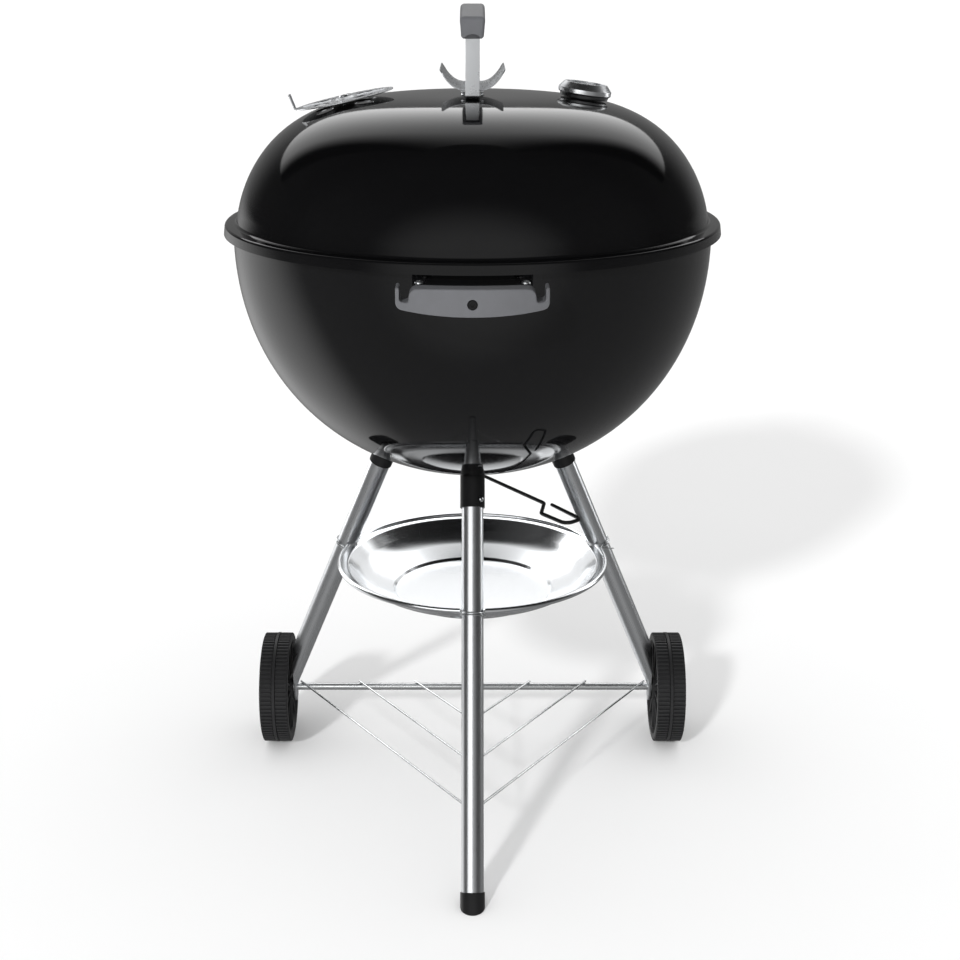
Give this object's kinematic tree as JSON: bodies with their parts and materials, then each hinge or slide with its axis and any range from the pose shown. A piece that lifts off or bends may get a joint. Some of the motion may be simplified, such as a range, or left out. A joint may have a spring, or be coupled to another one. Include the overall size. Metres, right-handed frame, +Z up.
{
  "type": "kettle charcoal grill",
  "caption": "Kettle charcoal grill: domed enamelled bowl and lid on a wheeled tripod, with ash pan, vent sweep, grates, air damper and thermometer.",
  "frame": {"origin": "middle of the bounding box on the floor", "axes": "+Z up; -Y towards the front leg and handle; +X to the right seen from the front, along the wheel axle"},
  "size_m": [0.59, 0.655, 0.9865],
  "materials": {
    "enamel": "glossy porcelain enamel",
    "grey_plastic": "satin glass-filled nylon",
    "black_plastic": "matt",
    "black_steel": "satin black coated steel",
    "aluminium": "satin",
    "chrome": "polished plating",
    "wire": "plated wire",
    "glass": "clear",
    "dial": "satin dial card"
  },
  "bodies": {
    "kettle": {"bowl": "enamel", "front_leg_socket": "black_steel", "right_leg_socket": "black_steel", "left_leg_socket": "black_steel", "grate_bracket_1": "black_steel", "grate_bracket_2": "black_steel", "grate_bracket_3": "black_steel", "grate_bracket_4": "black_steel", "front_leg": "aluminium", "right_leg": "aluminium", "left_leg": "aluminium", "front_foot_cap": "black_plastic", "axle": "aluminium", "right_axle_washer": "chrome", "left_axle_washer": "chrome", "bottom_rack": "wire", "ash_pan": "aluminium", "ash_clip_front": "wire", "ash_clip_right": "wire", "ash_clip_left": "wire", "bowl_handle": "grey_plastic", "handle_bracket": "black_steel", "handle_screw": "black_steel", "handle_bolt_right": "chrome", "handle_bolt_left": "chrome"},
    "lid_assembly": {"lid": "enamel", "lid_handle_strap": "chrome", "lid_handle_grip": "grey_plastic", "lid_handle_liner": "grey_plastic", "heat_shield": "aluminium", "shield_bracket_front": "chrome", "shield_bracket_back": "chrome", "damper_rivet": "chrome", "gauge_bezel": "chrome", "gauge_dial": "dial", "gauge_glass": "glass", "gauge_probe": "chrome", "gauge_nut": "chrome", "lid_hook": "wire"},
    "air_damper": {"damper_disc": "aluminium"},
    "needle": {"gauge_needle": "black_plastic"},
    "sweep": {"sweep_blades": "black_steel", "sweep_shaft": "chrome", "sweep_lever": "black_steel"},
    "cooking_grate": {"cooking_grate": "chrome"},
    "charcoal_grate": {"charcoal_grate": "black_steel"},
    "wheel_right": {"right_wheel": "black_plastic", "right_hub_cap": "black_plastic"},
    "wheel_left": {"left_wheel": "black_plastic", "left_hub_cap": "black_plastic"},
    "button_front": {"front_snap_button": "chrome"},
    "button_right": {"right_snap_button": "chrome"},
    "button_left": {"left_snap_button": "chrome"}
  },
  "joints": [
    {"name": "lid_lift", "type": "slide", "parent": "kettle", "child": "lid_assembly", "axis": [0, 0, 1], "range_m": [0, 0.3]},
    {"name": "damper_turn", "type": "hinge", "parent": "lid_assembly", "child": "air_damper", "pos_m": [-0.1492, 0.0325, 0.87721], "axis": [-0.2077, 0, 0.9782], "range_deg": [0, 45]},
    {"name": "needle_turn", "type": "hinge", "parent": "lid_assembly", "child": "needle", "pos_m": [0.13, 0.0325, 0.88057], "axis": [0.1398, 0, 0.9902], "range_deg": [0, 250]},
    {"name": "sweep_turn", "type": "hinge", "parent": "kettle", "child": "sweep", "pos_m": [0, 0.0325, 0.43], "axis": [0, 0, 1], "range_deg": [-20, 45]},
    {"name": "cooking_grate_lift", "type": "slide", "parent": "kettle", "child": "cooking_grate", "axis": [0, 0, 1], "range_m": [0, 0.04]},
    {"name": "charcoal_grate_lift", "type": "slide", "parent": "kettle", "child": "charcoal_grate", "axis": [0, 0, 1], "range_m": [0, 0.05]},
    {"name": "right_wheel_spin", "type": "hinge", "parent": "kettle", "child": "wheel_right", "pos_m": [0.268, 0.1323, 0.075], "axis": [1, 0, 0], "continuous": true},
    {"name": "left_wheel_spin", "type": "hinge", "parent": "kettle", "child": "wheel_left", "pos_m": [-0.268, 0.1323, 0.075], "axis": [1, 0, 0], "continuous": true},
    {"name": "front_button_press", "type": "slide", "parent": "kettle", "child": "button_front", "axis": [-0.682, 0.6444, -0.3458], "range_m": [0, 0.003], "stiffness_N_per_m": 900, "springref_m": -0.002},
    {"name": "right_button_press", "type": "slide", "parent": "kettle", "child": "button_right", "axis": [-0.3796, -0.8781, -0.2913], "range_m": [0, 0.003], "stiffness_N_per_m": 900, "springref_m": -0.002},
    {"name": "left_button_press", "type": "slide", "parent": "kettle", "child": "button_left", "axis": [0.3796, -0.8781, -0.2913], "range_m": [0, 0.003], "stiffness_N_per_m": 900, "springref_m": -0.002}
  ]
}
